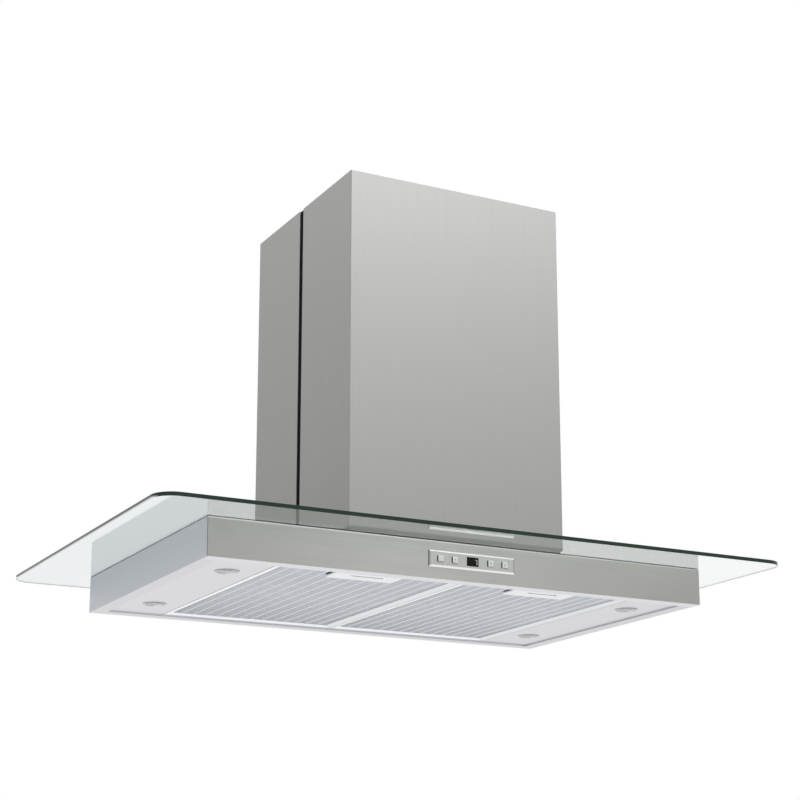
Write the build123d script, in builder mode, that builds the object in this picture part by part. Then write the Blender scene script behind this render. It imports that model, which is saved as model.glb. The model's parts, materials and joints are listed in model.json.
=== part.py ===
from build123d import *
import math
import os

os.makedirs("parts", exist_ok=True)

# Island range hood, in millimetres, +Z up. The origin is the centre of the ceiling plate's
# top face, so the whole hood hangs below z = 0. The control panel faces -Y.

# ---------------------------------------------------------------- driving dimensions

# Outer chimney: two U-shaped halves with a slot between them on each side
chimney_width = 318
chimney_depth = 303
chimney_wall = 1
chimney_bottom = -479
slot_width = 11
slot_centre = 5
fold_radius = 1.2

# Inner chimney, which the outer one telescopes over
inner_width = 304
inner_depth = 291
inner_bottom = -430
inner_joint_gap = 0.6

# Telescopic frame
height_travel = 300
plate_thickness = 3
flange_thickness = 2
flange_bottom = -25
post_wall = 2
upper_post_leg = 26
upper_post_x = 149
upper_post_y = 139
upper_post_bottom = -440
lower_post_leg = 24
post_clearance = 0.4
lower_post_top = -60
height_screw_levels = (-80, -110)
height_screw_radius = 3
height_slot_radius = 3.3

# Ceiling interface
duct_hole_radius = 100
ceiling_hole_spacing_x = 180
ceiling_hole_spacing_y = 230
ceiling_hole_radius = 4.5
cable_hole_radius = 9
cable_x = 20
cable_y = -122

# Glass
glass_width = 898
glass_depth = 600
glass_thickness = 5
glass_corner = 28
glass_centre_y = 44
glass_top = -489
glass_bottom = glass_top - glass_thickness
glass_polish = 0.3
cutout_width = 299
cutout_depth = 287
cutout_corner = 12

# Canopy
canopy_width = 718
canopy_front = -180
canopy_rear = 263
gasket_thickness = 1
gasket_width = 10
gasket_inset = 0.4
canopy_top_z = glass_bottom - gasket_thickness
canopy_bottom_z = -544
sheet = 1.2
hem = 2
rim_width = 20
top_flange = 15
panel_gap = 0.6

# Underside tray, recessed by the thickness of the hem
tray_sheet = 1
tray_z = canopy_bottom_z + hem
opening_half_width = 259.5
opening_front = -159
opening_rear = 242
opening_flange_top = -533

# Grease filters
filter_width = 258
filter_front = -158
filter_rear = 240
filter_offset_x = 129.5
filter_top = -533
border = 10.5
bevel_rise = 2
rib_pitch = 17.5
hinge_y = 236
hinge_z = -537.5
hinge_radius = 1.5
hinge_clearance = 0.08

# Filter handle and its latch
handle_width = 92
handle_depth = 36
handle_front = -154
handle_thickness = 2
handle_travel = 6
handle_bottom = -542.4
latch_rod_spacing = 50
latch_rod_radius = 1
latch_z = -536.5
latch_wall_y = -112

# Lamps
lamp_x = 298
lamp_ys = (-93, 166)
lamp_radius = 15
lamp_flange_radius = 16.2
lamp_stand = 1

# Control panel
control_x = 2
control_z = -518
control_width = 126
control_height = 21.5
control_face = -182.5
button_offsets = (-47, -26, 26, 47)
button_width = 8
button_height = 7.6
button_clearance = 0.2
button_side_gap = 0.6
button_stand = 1.6
display_width = 17.2
display_height = 11.8

# Blower
casing_width = 236
casing_depth = 216
casing_top = -224
casing_wall = 1
fan_y = -10
fan_z = -360
fan_radius = 75
scroll_half_width = 58
scroll_wall = 2
inlet_radius = 58
shaft_radius = 4
motor_radius = 40
blade_count = 24

# Outlet
spigot_radius = 75
spigot_wall = 1.6
spigot_top = -140
flap_z = -212
flap_pin_y = 3.2
flap_pin_radius = 1.5
flap_clearance = 0.06

# ---------------------------------------------------------------- derived values

half_chimney_x = chimney_width / 2
half_chimney_y = chimney_depth / 2
half_inner_x = inner_width / 2
half_inner_y = inner_depth / 2
lower_post_x = upper_post_x - post_wall - post_clearance
lower_post_y = upper_post_y - post_wall - post_clearance
base_z = canopy_top_z - sheet
clamp_screws_at = [(sx * 134, sy * 60) for sx in (-1, 1) for sy in (-1, 1)]
clamp_screws_at += [(sx * 60, sy * 125) for sx in (-1, 1) for sy in (-1, 1)]
lamps_at = [(sx * lamp_x, y) for sx in (-1, 1) for y in lamp_ys]
sides = {"left": -1, "right": 1}
corners = {
    "front_left": (-1, -1),
    "front_right": (1, -1),
    "rear_left": (-1, 1),
    "rear_right": (1, 1),
}


# ---------------------------------------------------------------- shared shapes


def block(x, y, z, mode=Mode.ADD):
    """A box between a low and a high limit on each axis, in the active part."""
    with Locations(((x[0] + x[1]) / 2, (y[0] + y[1]) / 2, (z[0] + z[1]) / 2)):
        Box(x[1] - x[0], y[1] - y[0], z[1] - z[0], mode=mode)


def rod(start, direction, length, radius, mode=Mode.ADD):
    """A cylinder that starts at a point and runs along a direction, in the active part."""
    with Locations(Plane(origin=start, z_dir=direction)):
        Cylinder(radius, length, align=(Align.CENTER, Align.CENTER, Align.MIN), mode=mode)


def about(centre, half):
    """The low and high limit of a span about its centre."""
    return (centre - half, centre + half)


# ---------------------------------------------------------------- ceiling frame

with BuildPart() as ceiling_plate:
    with BuildSketch(Plane.XY.offset(-plate_thickness)):
        Rectangle(inner_width - 2 * chimney_wall, inner_depth - 2 * chimney_wall)
        Circle(duct_hole_radius, mode=Mode.SUBTRACT)
        with GridLocations(ceiling_hole_spacing_x, ceiling_hole_spacing_y, 2, 2):
            Circle(ceiling_hole_radius, mode=Mode.SUBTRACT)
        with Locations((cable_x, cable_y)):
            Circle(cable_hole_radius, mode=Mode.SUBTRACT)
    extrude(amount=plate_thickness)
    for side in (-1, 1):
        outer_x = side * (half_inner_x - chimney_wall)
        outer_y = side * (half_inner_y - chimney_wall)
        flange_x = sorted((outer_x, outer_x - side * flange_thickness))
        flange_y = sorted((outer_y, outer_y - side * flange_thickness))
        block(flange_x, (-upper_post_y, upper_post_y), (flange_bottom, -plate_thickness))
        block((-120, 120), flange_y, (flange_bottom, -plate_thickness))
        for corner_y in (-1, 1):
            rod((outer_x, corner_y * 126, -14), (-side, 0, 0), flange_thickness, 3, Mode.SUBTRACT)
            rod((outer_x, corner_y * 90, -14), (-side, 0, 0), flange_thickness, 2, Mode.SUBTRACT)
ceiling_plate.part.label = "ceiling_plate"
export_step(ceiling_plate.part, "parts/ceiling_plate.step")


def angle_section(x, y, leg, z_low, z_high):
    """An angle post with its outer corner at (x, y) and its legs towards the chimney's axis."""
    sx = math.copysign(1, x)
    sy = math.copysign(1, y)
    with BuildPart() as post:
        with BuildSketch(Plane.XY.offset(z_low)):
            with Locations((x - sx * leg / 2, y - sy * post_wall / 2)):
                Rectangle(leg, post_wall)
            with Locations((x - sx * post_wall / 2, y - sy * leg / 2)):
                Rectangle(post_wall, leg)
        extrude(amount=z_high - z_low)
    return post.part


# The slot runs from the top screw at rest to the bottom screw at full drop.
slot_x = upper_post_x - 14.2
slot_top = height_screw_levels[0]
slot_low = height_screw_levels[1] - height_travel
for name, (sx, sy) in corners.items():
    with BuildPart() as upper_post:
        post_at = (sx * upper_post_x, sy * upper_post_y)
        add(angle_section(*post_at, upper_post_leg, upper_post_bottom, -plate_thickness))
        with BuildSketch(Plane.XZ.offset(-sy * upper_post_y)):
            with Locations((sx * slot_x, (slot_top + slot_low) / 2)):
                SlotCenterToCenter(slot_top - slot_low, 2 * height_slot_radius, rotation=90)
        extrude(amount=2 * post_wall, both=True, mode=Mode.SUBTRACT)
        rod((sx * upper_post_x, sy * 126, -14), (-sx, 0, 0), post_wall, 3, Mode.SUBTRACT)
    upper_post.part.label = f"upper_post_{name}"
    export_step(upper_post.part, f"parts/upper_post_{name}.step")

# Four rivets hold the posts and four screws hold the inner chimney to the plate's flanges.
with BuildPart() as upper_frame_fixings:
    for sx, sy in corners.values():
        flange_face = sx * (half_inner_x - chimney_wall)
        rod((flange_face, sy * 126, -14), (-sx, 0, 0), flange_thickness + post_wall, 3)
        rod((sx * (upper_post_x - post_wall), sy * 126, -14), (-sx, 0, 0), 1.8, 5)
        rod((sx * half_inner_x, sy * 90, -14), (-sx, 0, 0), 8, 2)
        rod((sx * half_inner_x, sy * 90, -14), (sx, 0, 0), 1.6, 3.8)
upper_frame_fixings.part.label = "upper_frame_fixings"
export_step(upper_frame_fixings.part, "parts/upper_frame_fixings.step")


def chimney_half(half_x, y_joint, y_face, z_low, z_high):
    """A U-shaped sheet: one full face at y_face and two legs that end at y_joint."""
    outward = math.copysign(1, y_face)
    depth = abs(y_face - y_joint)
    with BuildPart() as half:
        with BuildSketch(Plane.XY.offset(z_low)) as section:
            with Locations((0, (y_face + y_joint) / 2)):
                Rectangle(2 * half_x, depth)
            folds = section.vertices().sort_by(Axis.Y)
            fillet(folds[-2:] if outward > 0 else folds[:2], fold_radius)
            with Locations((0, (y_face + y_joint - outward * chimney_wall) / 2)):
                Rectangle(2 * (half_x - chimney_wall), depth - chimney_wall, mode=Mode.SUBTRACT)
        extrude(amount=z_high - z_low)
    return half.part


with BuildPart() as inner_chimney_front:
    add(
        chimney_half(
            half_inner_x, slot_centre - inner_joint_gap / 2, -half_inner_y, inner_bottom, -0.5
        )
    )
    for side in (-1, 1):
        rod((side * half_inner_x, -90, -14), (-side, 0, 0), chimney_wall, 2, Mode.SUBTRACT)
inner_chimney_front.part.label = "inner_chimney_front"
export_step(inner_chimney_front.part, "parts/inner_chimney_front.step")

with BuildPart() as inner_chimney_rear:
    add(
        chimney_half(
            half_inner_x, slot_centre + inner_joint_gap / 2, half_inner_y, inner_bottom, -0.5
        )
    )
    for side in (-1, 1):
        rod((side * half_inner_x, 90, -14), (-side, 0, 0), chimney_wall, 2, Mode.SUBTRACT)
inner_chimney_rear.part.label = "inner_chimney_rear"
export_step(inner_chimney_rear.part, "parts/inner_chimney_rear.step")

# ---------------------------------------------------------------- outer chimney

slot_front = slot_centre - slot_width / 2
slot_rear = slot_centre + slot_width / 2

with BuildPart() as chimney_front:
    add(chimney_half(half_chimney_x, slot_front, -half_chimney_y, chimney_bottom, 0))
chimney_front.part.label = "chimney_front"
export_step(chimney_front.part, "parts/chimney_front.step")

with BuildPart() as chimney_rear:
    add(chimney_half(half_chimney_x, slot_rear, half_chimney_y, chimney_bottom, 0))
chimney_rear.part.label = "chimney_rear"
export_step(chimney_rear.part, "parts/chimney_rear.step")

# A flat strip bridges the slot from behind on each side.
strip_overlap = 12
for name, side in sides.items():
    with BuildPart() as chimney_strip:
        strip_outer = side * (half_chimney_x - chimney_wall)
        block(
            sorted((strip_outer, strip_outer - side * 2)),
            (slot_front - strip_overlap, slot_rear + strip_overlap),
            (chimney_bottom + 22, -1),
        )
    chimney_strip.part.label = f"chimney_strip_{name}"
    export_step(chimney_strip.part, f"parts/chimney_strip_{name}.step")

# The collar stands on the glass, shows as a recessed band below the chimney, and its
# inward flange is screwed down to the lower frame through the glass cut-out.
collar_top = chimney_bottom + 20
collar_recess = 3
collar_flange = 2
with BuildPart() as base_collar:
    with BuildSketch(Plane.XY.offset(chimney_bottom)):
        Rectangle(chimney_width - 2 * chimney_wall, chimney_depth - 2 * chimney_wall)
    extrude(amount=collar_top - chimney_bottom)
    with BuildSketch(Plane.XY.offset(glass_top)):
        Rectangle(chimney_width - 2 * collar_recess, chimney_depth - 2 * collar_recess)
    extrude(amount=chimney_bottom - glass_top)
    with BuildSketch(Plane.XY.offset(glass_top + collar_flange)):
        Rectangle(chimney_width - 10, chimney_depth - 10)
    extrude(amount=collar_top - glass_top, mode=Mode.SUBTRACT)
    with BuildSketch(Plane.XY.offset(glass_top)):
        Rectangle(244, 224)
        with GridLocations(270, 252, 2, 2):
            Rectangle(30, 32)
    extrude(amount=collar_flange, mode=Mode.SUBTRACT)
    for x, y in clamp_screws_at:
        rod((x, y, base_z + flange_thickness), (0, 0, 1), glass_top - base_z - flange_thickness, 5)
        rod((x, y, base_z), (0, 0, 1), 12, 2.7, Mode.SUBTRACT)
base_collar.part.label = "base_collar"
export_step(base_collar.part, "parts/base_collar.step")

# ---------------------------------------------------------------- lower frame and screws

with BuildPart() as lower_frame:
    with BuildSketch(Plane.XY.offset(base_z)):
        RectangleRounded(2 * lower_post_x, 2 * upper_post_y, 8)
        Rectangle(242.8, 222.8, mode=Mode.SUBTRACT)
    extrude(amount=flange_thickness)
    for sx, sy in corners.values():
        post_at = (sx * lower_post_x, sy * lower_post_y)
        add(angle_section(*post_at, lower_post_leg, base_z + flange_thickness, lower_post_top))
        for level in height_screw_levels:
            outer_face = (sx * slot_x, sy * lower_post_y, level)
            rod(outer_face, (0, -sy, 0), post_wall, height_screw_radius, Mode.SUBTRACT)
    for x, y in clamp_screws_at:
        rod((x, y, base_z), (0, 0, 1), flange_thickness, 2.7, Mode.SUBTRACT)
lower_frame.part.label = "lower_frame"
export_step(lower_frame.part, "parts/lower_frame.step")

# The shank passes through the upper post's slot; the head outside it slides along the post.
with BuildPart() as height_screws:
    for sx, sy in corners.values():
        for level in height_screw_levels:
            head_face = (sx * slot_x, sy * (upper_post_y + 0.3), level)
            nut_face = (sx * slot_x, sy * (lower_post_y - post_wall), level)
            rod(nut_face, (0, sy, 0), upper_post_y + 0.3 - lower_post_y + post_wall, height_screw_radius)
            rod(head_face, (0, sy, 0), 2.4, 5)
            with Locations(Plane(origin=nut_face, z_dir=(0, -sy, 0))):
                Cylinder(5, 4, align=(Align.CENTER, Align.CENTER, Align.MIN))
height_screws.part.label = "height_screws"
export_step(height_screws.part, "parts/height_screws.step")

clamp_top = glass_top + collar_flange
with BuildPart() as clamp_screws:
    for x, y in clamp_screws_at:
        rod((x, y, clamp_top), (0, 0, -1), clamp_top - base_z + sheet + 4, 2.7)
        rod((x, y, clamp_top), (0, 0, 1), 3, 4.6)
        rod((x, y, base_z - sheet), (0, 0, -1), 3.5, 4.6)
clamp_screws.part.label = "clamp_screws"
export_step(clamp_screws.part, "parts/clamp_screws.step")

# ---------------------------------------------------------------- glass and its gasket

with BuildPart() as glass_plate:
    with BuildSketch(Plane.XY.offset(glass_bottom)):
        with Locations((0, glass_centre_y)):
            RectangleRounded(glass_width, glass_depth, glass_corner)
        RectangleRounded(cutout_width, cutout_depth, cutout_corner, mode=Mode.SUBTRACT)
    extrude(amount=glass_thickness)
    faces = glass_plate.faces().filter_by(Axis.Z).sort_by(Axis.Z)
    rims = faces[0].outer_wire().edges() + faces[-1].outer_wire().edges()
    chamfer(rims, glass_polish)
glass_plate.part.label = "glass_plate"
export_step(glass_plate.part, "parts/glass_plate.step")

canopy_middle = (canopy_front + canopy_rear) / 2
canopy_depth = canopy_rear - canopy_front
with BuildPart() as glass_gasket:
    with BuildSketch(Plane.XY.offset(canopy_top_z)):
        with Locations((0, canopy_middle)):
            Rectangle(canopy_width - 2 * gasket_inset, canopy_depth - 2 * gasket_inset)
            inner = gasket_inset + gasket_width
            Rectangle(canopy_width - 2 * inner, canopy_depth - 2 * inner, mode=Mode.SUBTRACT)
    extrude(amount=gasket_thickness)
glass_gasket.part.label = "glass_gasket"
export_step(glass_gasket.part, "parts/glass_gasket.step")

# ---------------------------------------------------------------- canopy shell

half_canopy = canopy_width / 2
panel_cutout_width = 117
panel_cutout_height = 14.4

with BuildPart() as front_fascia:
    with BuildSketch(Plane.XZ.offset(-canopy_front - sheet)):
        with Locations((0, (canopy_top_z + canopy_bottom_z) / 2)):
            Rectangle(canopy_width, canopy_top_z - canopy_bottom_z)
    extrude(amount=sheet)
    fillet(front_fascia.edges().filter_by(Axis.X).group_by(Axis.Y)[0], 0.6)
    fold_half_x = half_canopy - sheet - 0.2
    fold_x = (-fold_half_x, fold_half_x)
    fold_front = canopy_front + sheet
    block(fold_x, (fold_front, canopy_front + rim_width), (canopy_bottom_z, tray_z))
    block(fold_x, (fold_front, canopy_front + top_flange), (base_z, canopy_top_z))
    for side in (-1, 1):
        return_x = sorted((side * fold_half_x, side * (fold_half_x - sheet)))
        block(return_x, (fold_front, fold_front + 13), (tray_z, base_z))
    block(
        about(control_x, panel_cutout_width / 2),
        about(canopy_front, 3),
        about(control_z, panel_cutout_height / 2),
        Mode.SUBTRACT,
    )
front_fascia.part.label = "front_fascia"
export_step(front_fascia.part, "parts/front_fascia.step")

skirt_front = canopy_front + sheet + panel_gap
rim_front = canopy_front + rim_width + 0.2
flange_front = canopy_front + top_flange + 0.4


def open_ring(half_x, front, rear, width, z, height):
    """A U around the canopy's sides and rear, open at the front, in the active part."""
    block((-half_x, half_x), (rear - width, rear), (z, z + height))
    for side in (-1, 1):
        block(sorted((side * half_x, side * (half_x - width))), (front, rear), (z, z + height))


with BuildPart() as skirt_walls:
    wall_height = canopy_top_z - canopy_bottom_z
    open_ring(half_canopy, skirt_front, canopy_rear, sheet, canopy_bottom_z, wall_height)
    rear_folds = skirt_walls.edges().filter_by(Axis.Z).group_by(Axis.Y)[-1]
    fillet(rear_folds, 1)

# The rim under the tray and the ledge under the glass are strips welded inside the walls.
inner_half = half_canopy - sheet
inner_rear = canopy_rear - sheet
with BuildPart() as skirt_rim:
    open_ring(inner_half, rim_front, inner_rear, rim_width - sheet, canopy_bottom_z, hem)
with BuildPart() as skirt_ledge:
    open_ring(inner_half, flange_front, inner_rear, top_flange - sheet, base_z, sheet)
canopy_skirt = Compound(children=[skirt_walls.part, skirt_rim.part, skirt_ledge.part])
canopy_skirt.label = "canopy_skirt"
export_step(canopy_skirt, "parts/canopy_skirt.step")

air_opening_width = 208
air_opening_depth = 188
with BuildPart() as canopy_top:
    with BuildSketch(Plane.XY.offset(base_z - sheet)):
        with Locations((0, canopy_middle)):
            Rectangle(canopy_width - 18, canopy_depth - 16)
        RectangleRounded(air_opening_width, air_opening_depth, 8, mode=Mode.SUBTRACT)
        with Locations(*clamp_screws_at):
            Circle(2.7, mode=Mode.SUBTRACT)
    extrude(amount=sheet)
canopy_top.part.label = "canopy_top"
export_step(canopy_top.part, "parts/canopy_top.step")

opening_middle = (opening_front + opening_rear) / 2
opening_depth = opening_rear - opening_front
with BuildPart() as bottom_tray:
    with BuildSketch(Plane.XY.offset(tray_z)):
        with Locations((0, canopy_middle)):
            Rectangle(canopy_width - 18, canopy_depth - 16)
        with Locations((0, opening_middle)):
            Rectangle(2 * opening_half_width, opening_depth, mode=Mode.SUBTRACT)
        with Locations(*lamps_at):
            Circle(lamp_radius, mode=Mode.SUBTRACT)
    extrude(amount=tray_sheet)
    with BuildSketch(Plane.XY.offset(tray_z)):
        with Locations((0, opening_middle)):
            Rectangle(2 * (opening_half_width + tray_sheet), opening_depth + 2 * tray_sheet)
            Rectangle(2 * opening_half_width, opening_depth, mode=Mode.SUBTRACT)
    extrude(amount=opening_flange_top - tray_z)
    rod((-270, hinge_y, hinge_z), (1, 0, 0), 540, hinge_radius, Mode.SUBTRACT)
bottom_tray.part.label = "bottom_tray"
export_step(bottom_tray.part, "parts/bottom_tray.step")

bar_low = -530.5
bar_high = -524
with BuildPart() as filter_support_bar:
    bar_y = (opening_front - tray_sheet, opening_rear + tray_sheet)
    block((-13, 13), bar_y, (bar_low, bar_low + 1.5))
    for side in (-1, 1):
        block(sorted((side * 13, side * 11.5)), bar_y, (bar_low, bar_high))
    foot_z = (tray_z + tray_sheet, bar_high)
    block((-13, 13), (bar_y[0] - 1.5, bar_y[0]), foot_z)
    block((-13, 13), (bar_y[1], bar_y[1] + 1.5), foot_z)
filter_support_bar.part.label = "filter_support_bar"
export_step(filter_support_bar.part, "parts/filter_support_bar.step")

with BuildPart() as filter_hinge_rod:
    rod((-262, hinge_y, hinge_z), (1, 0, 0), 524, hinge_radius)
filter_hinge_rod.part.label = "filter_hinge_rod"
export_step(filter_hinge_rod.part, "parts/filter_hinge_rod.step")

# ---------------------------------------------------------------- grease filters

filter_middle = (filter_front + filter_rear) / 2
filter_depth = filter_rear - filter_front
window_front = filter_front + border
window_rear = filter_rear - border
groove_low = tray_z + 2.7
groove_high = filter_top - 1
housing_half = 49
housing_wall = 1.2
housing_low = -538.3
stem_half = 38
stem_front = -144
stem_rear = -126
tongue_half = 20


def filter_frame(x):
    """A bevelled channel frame with a latch housing in front and a hook along the rear."""
    with BuildPart() as frame:
        half = filter_width / 2
        block(about(x, half), (filter_front, filter_rear), (tray_z, filter_top))
        fillet(frame.edges().filter_by(Axis.X).group_by(Axis.Y)[-1].sort_by(Axis.Z)[0], 3)
        window_x = about(x, half - border)
        block(window_x, (window_front, window_rear), (tray_z, filter_top), Mode.SUBTRACT)
        with BuildSketch(Plane.XY.offset(tray_z)):
            with Locations((x, filter_middle)):
                Rectangle(filter_width - 1, filter_depth - 1)
        with BuildSketch(Plane.XY.offset(tray_z + bevel_rise)):
            with Locations((x, filter_middle)):
                Rectangle(filter_width - 2 * border, filter_depth - 2 * border)
        loft(mode=Mode.SUBTRACT)
        groove_x = about(x, half - 1.6)
        block(groove_x, (filter_front + 1.6, window_rear + 2.5), (groove_low, groove_high), Mode.SUBTRACT)
        # Latch housing
        housing_y = (window_front, latch_wall_y + 1)
        block(about(x, housing_half), housing_y, (housing_low, filter_top))
        cavity_x = about(x, housing_half - housing_wall)
        block(cavity_x, (filter_front + 1.6, latch_wall_y), (housing_low, groove_high), Mode.SUBTRACT)
        slot_z = (latch_z - 1.8, latch_z + 1.2)
        block(about(x, tongue_half + 0.4), (filter_front, filter_front + 2), slot_z, Mode.SUBTRACT)
        notch_y = (handle_front - 0.6, window_front)
        block(about(x, 47.5), notch_y, (tray_z - 1, handle_bottom + 2.2), Mode.SUBTRACT)
        for side in (-1, 1):
            start = (x + side * latch_rod_spacing / 2, latch_wall_y - 1, latch_z)
            rod(start, (0, 1, 0), 3, latch_rod_radius + hinge_clearance, Mode.SUBTRACT)
        # Open hook on the hinge rod
        hook = hinge_radius + hinge_clearance
        rod((x - half, hinge_y, hinge_z), (1, 0, 0), filter_width, hook, Mode.SUBTRACT)
        block(about(x, half), (hinge_y, filter_rear), about(hinge_z, hook), Mode.SUBTRACT)
    return frame.part


mesh_low = groove_low
mesh_high = -534.6
rib_height = 0.9
rib_half = 0.9


def filter_mesh(x):
    """The knitted pad that fills the frame, with pressed ribs that run front to rear."""
    with BuildPart() as mesh:
        block(about(x, 126.5), (filter_front + 2.5, window_rear + 2), (mesh_low, mesh_high))
        with BuildSketch(Plane.XZ.offset(-window_front - 1)):
            for step in range(-6, 7):
                with BuildLine():
                    middle = x + step * rib_pitch
                    Polyline(
                        (middle - rib_half, mesh_low),
                        (middle, mesh_low - rib_height),
                        (middle + rib_half, mesh_low),
                        close=True,
                    )
                make_face()
        extrude(amount=-(window_rear - window_front - 2))
        # Room for the latch housing, its stem, its guide rods and the slits beside the handle
        upper = (housing_low, filter_top)
        block(about(x, housing_half + 0.3), (filter_front, latch_wall_y + 1.3), upper, Mode.SUBTRACT)
        through = (mesh_low - 2, filter_top)
        stem_y = (stem_front - 2, stem_rear + handle_travel + 0.7)
        block(about(x, stem_half + 2), stem_y, through, Mode.SUBTRACT)
        for side in (-1, 1):
            rod_x = about(x + side * latch_rod_spacing / 2, 1.6)
            block(rod_x, (latch_wall_y, -97), upper, Mode.SUBTRACT)
            slit_x = sorted((x + side * 46, x + side * 49))
            block(slit_x, (-148, -124), through, Mode.SUBTRACT)
    return mesh.part


def filter_handle(x):
    """Handle plate with a finger line, its stem, latch tongue and two guide rods."""
    with BuildPart() as handle:
        with BuildSketch(Plane.XY.offset(handle_bottom)):
            with Locations((x, handle_front + handle_depth / 2)):
                RectangleRounded(handle_width, handle_depth, 2.5)
        extrude(amount=handle_thickness)
        chamfer(handle.faces().sort_by(Axis.Z)[0].edges(), 0.5)
        block(about(x, 20.5), (-141.8, -140.2), (handle_bottom, handle_bottom + 0.9), Mode.SUBTRACT)
        rod((x + 22, -141, handle_bottom), (0, 0, 1), 1.2, 1.8, Mode.SUBTRACT)
        stem_z = (handle_bottom + handle_thickness, -535)
        block(about(x, stem_half), (stem_front, stem_rear), stem_z)
        tongue_y = (opening_front + 0.3, stem_front)
        block(about(x, tongue_half), tongue_y, (latch_z - 1.5, latch_z + 0.9))
        for side in (-1, 1):
            start = (x + side * latch_rod_spacing / 2, stem_rear, latch_z)
            rod(start, (0, 1, 0), 21, latch_rod_radius)
    return handle.part


def latch_springs(x):
    """Two coil springs on the guide rods, between the stem and the housing's rear wall."""
    length = latch_wall_y - stem_rear
    coils = []
    for side in (-1, 1):
        foot = (x + side * latch_rod_spacing / 2, stem_rear + 0.4, latch_z)
        with BuildPart() as coil:
            with BuildLine() as path:
                Helix(pitch=2, height=length - 0.8, radius=1.45, center=foot, direction=(0, 1, 0))
            with BuildSketch(Plane(origin=path.line @ 0, z_dir=path.line % 0)):
                Circle(0.25)
            sweep(is_frenet=True)
        coils.append(coil.part)
    return Compound(children=coils)


for name, side in sides.items():
    x = side * filter_offset_x
    with BuildPart() as frame:
        add(filter_frame(x))
    frame.part.label = f"filter_frame_{name}"
    export_step(frame.part, f"parts/filter_frame_{name}.step")
    with BuildPart() as mesh:
        add(filter_mesh(x))
    mesh.part.label = f"filter_mesh_{name}"
    export_step(mesh.part, f"parts/filter_mesh_{name}.step")
    with BuildPart() as handle:
        add(filter_handle(x))
    handle.part.label = f"filter_handle_{name}"
    export_step(handle.part, f"parts/filter_handle_{name}.step")
    springs = latch_springs(x)
    springs.label = f"latch_springs_{name}"
    export_step(springs, f"parts/latch_springs_{name}.step")

# ---------------------------------------------------------------- lamps

# A flange stands proud of the tray, and a shallow cone leads in to the recessed lens.
lens_z = tray_z + 1
lens_radius = 12.5
ring_bore = lens_radius + 0.1
ring_face_z = tray_z - lamp_stand
lens_depth = lens_z - ring_face_z
with BuildPart() as lamp_rings:
    for x, y in lamps_at:
        rod((x, y, ring_face_z), (0, 0, 1), lamp_stand, lamp_flange_radius)
        rod((x, y, tray_z), (0, 0, 1), 6, lamp_radius)
        with Locations((x, y, ring_face_z + lens_depth / 2)):
            Cone(lamp_radius - 0.4, ring_bore, lens_depth, mode=Mode.SUBTRACT)
        rod((x, y, lens_z), (0, 0, 1), 5, ring_bore, Mode.SUBTRACT)
lamp_rings.part.label = "lamp_rings"
export_step(lamp_rings.part, "parts/lamp_rings.step")

with BuildPart() as lamp_lenses:
    for x, y in lamps_at:
        rod((x, y, lens_z), (0, 0, 1), 1.6, lens_radius)
lamp_lenses.part.label = "lamp_lenses"
export_step(lamp_lenses.part, "parts/lamp_lenses.step")

holder_z = tray_z + 6
with BuildPart() as lamp_holders:
    for x, y in lamps_at:
        rod((x, y, holder_z), (0, 0, 1), 24, lamp_radius + 0.5)
        rod((x, y, holder_z), (0, 0, 1), 22.8, lamp_radius - 0.7, Mode.SUBTRACT)
        rod((x, y, holder_z + 8), (0, 0, 1), 15, 5)
        rod((x, y, holder_z), (0, 0, 1), 8, 3.2)
lamp_holders.part.label = "lamp_holders"
export_step(lamp_holders.part, "parts/lamp_holders.step")

with BuildPart() as lamp_transformer:
    block((278, 324), (-10, 82), (tray_z + tray_sheet, -517))
    fillet(lamp_transformer.edges().filter_by(Axis.Z), 3)
    for y in (-16, 80):
        block((290, 312), (y, y + 8), (tray_z + tray_sheet, tray_z + tray_sheet + 2))
lamp_transformer.part.label = "lamp_transformer"
export_step(lamp_transformer.part, "parts/lamp_transformer.step")

# ---------------------------------------------------------------- control panel

bezel_back = canopy_front + 6
button_holes = [(control_x + offset_x, control_z) for offset_x in button_offsets]
with BuildPart() as control_bezel:
    block(
        about(control_x, control_width / 2),
        (control_face, canopy_front),
        about(control_z, control_height / 2),
    )
    chamfer(control_bezel.faces().sort_by(Axis.Y)[0].edges(), 2.2)
    body_x = about(control_x, panel_cutout_width / 2 - 0.4)
    body_z = about(control_z, panel_cutout_height / 2 - 0.4)
    block(body_x, (canopy_front, bezel_back), body_z)
    pocket_x = about(control_x, panel_cutout_width / 2 - 2)
    pocket_z = about(control_z, panel_cutout_height / 2 - 1.4)
    block(pocket_x, (control_face + 4, bezel_back), pocket_z, Mode.SUBTRACT)
    for x, z in button_holes:
        hole_x = about(x, button_width / 2 + button_side_gap)
        hole_z = about(z, button_height / 2 + button_clearance)
        block(hole_x, (control_face, control_face + 4), hole_z, Mode.SUBTRACT)
    window_x = about(control_x, display_width / 2)
    window_z = about(control_z, display_height / 2)
    block(window_x, (control_face, control_face + 1.2), window_z, Mode.SUBTRACT)
    block(about(control_x, 7.5), (control_face, control_face + 4), about(control_z, 5), Mode.SUBTRACT)
    for side in (-1, 1):
        stand_x = about(control_x + side * 55.8, 1.5)
        block(stand_x, (bezel_back - 1, bezel_back + 3), about(control_z, 5))
control_bezel.part.label = "control_bezel"
export_step(control_bezel.part, "parts/control_bezel.step")

with BuildPart() as display_window:
    block(window_x, (control_face + 0.2, control_face + 1.2), window_z)
display_window.part.label = "display_window"
export_step(display_window.part, "parts/display_window.step")

board_front = bezel_back + 3
with BuildPart() as control_board:
    block(about(control_x, 58), (board_front, board_front + 1.6), about(control_z, 6))
    for x, z in button_holes:
        block(about(x, 3), (board_front - 3, board_front), about(z, 3))
    block(about(control_x, 7.3), (control_face + 1.4, board_front), about(control_z, 4.8))
control_board.part.label = "control_board"
export_step(control_board.part, "parts/control_board.step")

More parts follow.
